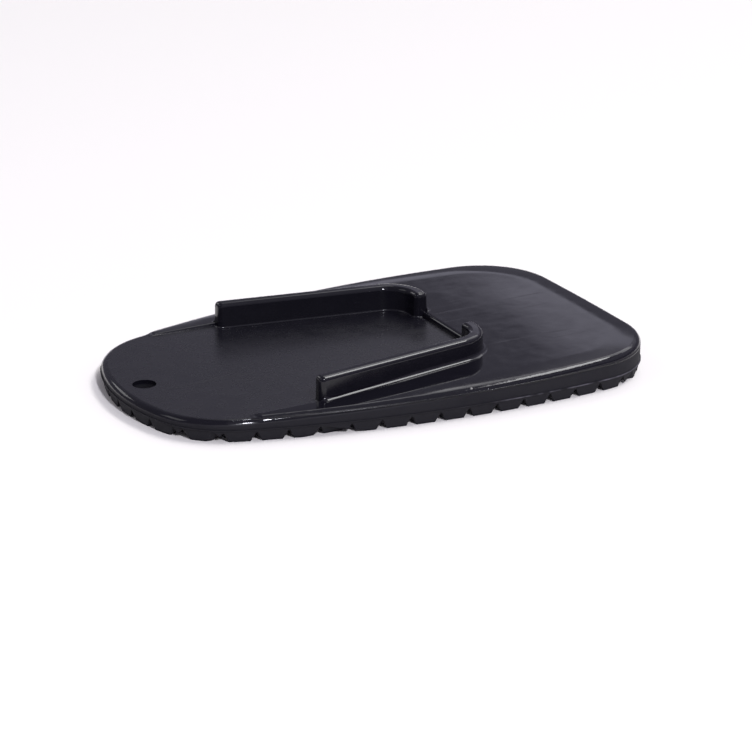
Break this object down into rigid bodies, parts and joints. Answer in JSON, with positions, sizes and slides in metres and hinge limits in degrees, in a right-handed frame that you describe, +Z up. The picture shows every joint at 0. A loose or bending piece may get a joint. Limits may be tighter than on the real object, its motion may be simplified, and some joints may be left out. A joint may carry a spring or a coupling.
{
  "type": "kickstand foot pad",
  "caption": "Flat black plastic foot pad that widens a motorbike's side stand, with hooked ribs round a sunk pocket, a cord hole and a blocked tread underneath.",
  "frame": {"origin": "on the ground under the middle of the pad's length and width", "axes": "+X along the pad from the round nose with the cord hole to the wide end, +Y across it, +Z up"},
  "size_m": [0.1404, 0.09, 0.0135],
  "materials": {
    "black_plastic": "moulded black, fine matt on the sunk floor, gloss elsewhere"
  },
  "bodies": {
    "root": {"stand_pad": "black_plastic"}
  },
  "joints": []
}
